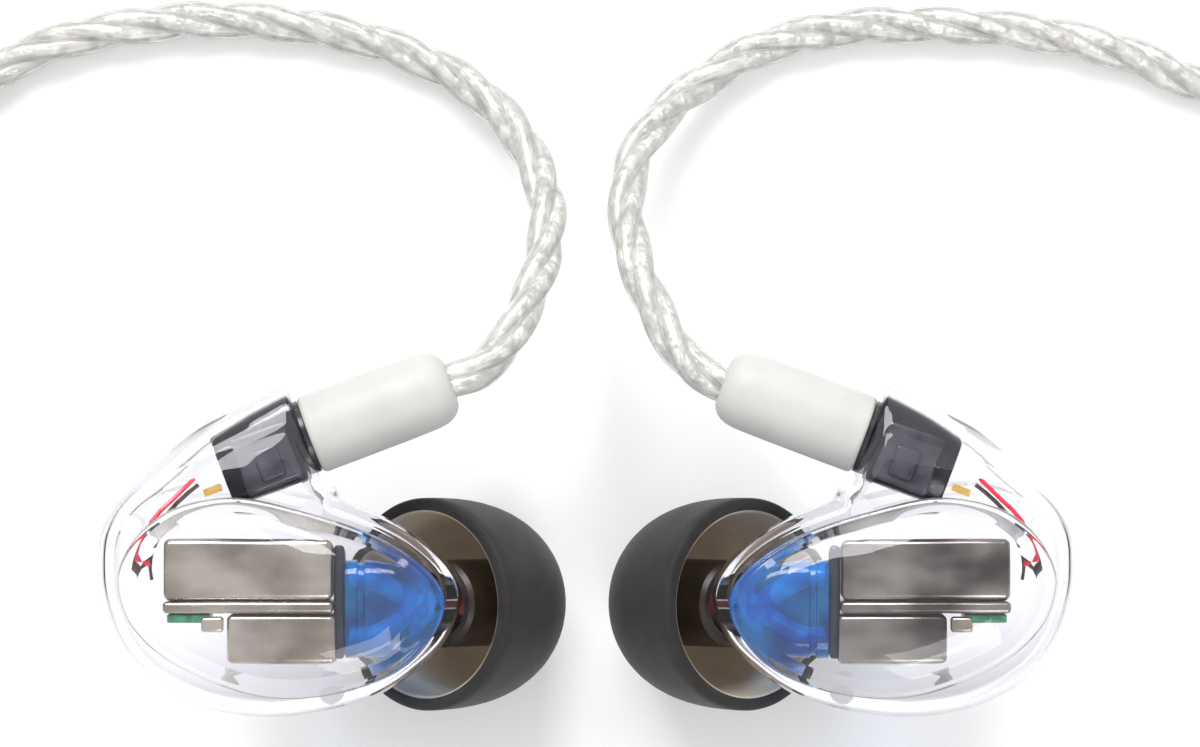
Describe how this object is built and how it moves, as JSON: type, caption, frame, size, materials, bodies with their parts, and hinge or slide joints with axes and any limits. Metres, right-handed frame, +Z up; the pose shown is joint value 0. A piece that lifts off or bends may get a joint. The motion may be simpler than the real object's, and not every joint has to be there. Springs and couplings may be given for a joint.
{
  "type": "in ear monitors",
  "caption": "Pair of clear universal-fit in ear monitors with two balanced armature drivers each, soft tips and a detachable twisted cable.",
  "frame": {"origin": "on the surface, under the middle of the two earpieces with their connectors, halfway between them", "axes": "+X from the left earpiece to the right one, +Y the way the cable leaves, +Z up out of the faceplates"},
  "size_m": [0.1127, 0.0489, 0.0175],
  "materials": {
    "clear_shell": "clear colourless, polished",
    "blue_manifold": "translucent deep blue, glossy",
    "tip_silicone": "soft, matte, nearly opaque",
    "tip_core": "firm, satin",
    "driver_steel": "bright drawn steel",
    "black_plastic": "smooth, moulded",
    "gold_plate": "gold plated, polished",
    "spring_steel": "turned, bright",
    "white_plastic": "satin, moulded",
    "cord_clear": "clear jacket over silver-coloured strands",
    "circuit_board": "solder mask",
    "wire_red": "enamel",
    "wire_dark": "enamel",
    "damper": "fine felt",
    "strap_fabric": "woven hook and loop strap"
  },
  "bodies": {
    "cable": {"cable_hank": "cord_clear", "hank_tie": "strap_fabric", "left_lead": "cord_clear", "right_lead": "cord_clear", "left_lead_end": "cord_clear", "right_lead_end": "cord_clear", "main_lead_start": "cord_clear", "main_lead_end": "cord_clear", "y_split": "white_plastic", "jack_relief": "white_plastic", "jack_barrel": "white_plastic", "jack_sleeve": "gold_plate", "jack_ring": "gold_plate", "jack_tip": "gold_plate", "jack_insulator": "black_plastic", "left_plug_shell": "white_plastic", "left_plug_nose": "spring_steel", "left_plug_pin": "gold_plate", "right_plug_shell": "white_plastic", "right_plug_nose": "spring_steel", "right_plug_pin": "gold_plate"},
    "left_ring": {"left_snap_ring": "spring_steel"},
    "left_earpiece": {"left_faceplate": "clear_shell", "left_body_shell": "clear_shell", "left_acoustic_manifold": "blue_manifold", "left_woofer_cup": "driver_steel", "left_woofer_lid": "driver_steel", "left_tweeter_can": "driver_steel", "left_driver_boot": "black_plastic", "left_crossover_board": "circuit_board", "left_acoustic_damper": "damper", "left_nozzle_screen": "spring_steel", "left_socket_block": "black_plastic", "left_socket_contact": "gold_plate", "left_socket_terminal": "gold_plate", "left_wire_red": "wire_red", "left_wire_dark": "wire_dark"},
    "left_tip": {"left_tip_dome": "tip_silicone", "left_tip_core": "tip_core"},
    "right_ring": {"right_snap_ring": "spring_steel"},
    "right_earpiece": {"right_faceplate": "clear_shell", "right_body_shell": "clear_shell", "right_acoustic_manifold": "blue_manifold", "right_woofer_cup": "driver_steel", "right_woofer_lid": "driver_steel", "right_tweeter_can": "driver_steel", "right_driver_boot": "black_plastic", "right_crossover_board": "circuit_board", "right_acoustic_damper": "damper", "right_nozzle_screen": "spring_steel", "right_socket_block": "black_plastic", "right_socket_contact": "gold_plate", "right_socket_terminal": "gold_plate", "right_wire_red": "wire_red", "right_wire_dark": "wire_dark"},
    "right_tip": {"right_tip_dome": "tip_silicone", "right_tip_core": "tip_core"},
    "slider": {"chin_slider": "white_plastic"}
  },
  "joints": [
    {"name": "left_swivel", "type": "hinge", "parent": "cable", "child": "left_ring", "pos_m": [-0.0166, 0.0058, 0.01205], "axis": [0.9361, 0.3518, 0], "continuous": true},
    {"name": "left_unplug", "type": "slide", "parent": "left_ring", "child": "left_earpiece", "axis": [-0.9361, -0.3518, 0], "range_m": [0, 0.006]},
    {"name": "right_swivel", "type": "hinge", "parent": "cable", "child": "right_ring", "pos_m": [0.0166, 0.0058, 0.01205], "axis": [-0.9361, 0.3518, 0], "continuous": true},
    {"name": "right_unplug", "type": "slide", "parent": "right_ring", "child": "right_earpiece", "axis": [0.9361, -0.3518, 0], "range_m": [0, 0.006]},
    {"name": "left_tip_pull", "type": "slide", "parent": "left_earpiece", "child": "left_tip", "axis": [0.6198, 0, -0.7848], "range_m": [0, 0.005]},
    {"name": "right_tip_push", "type": "slide", "parent": "right_earpiece", "child": "right_tip", "axis": [0.6198, 0, 0.7848], "range_m": [-0.005, 0]},
    {"name": "chin_slide", "type": "slide", "parent": "cable", "child": "slider", "axis": [0, 1, 0], "range_m": [0, 0.008]}
  ]
}
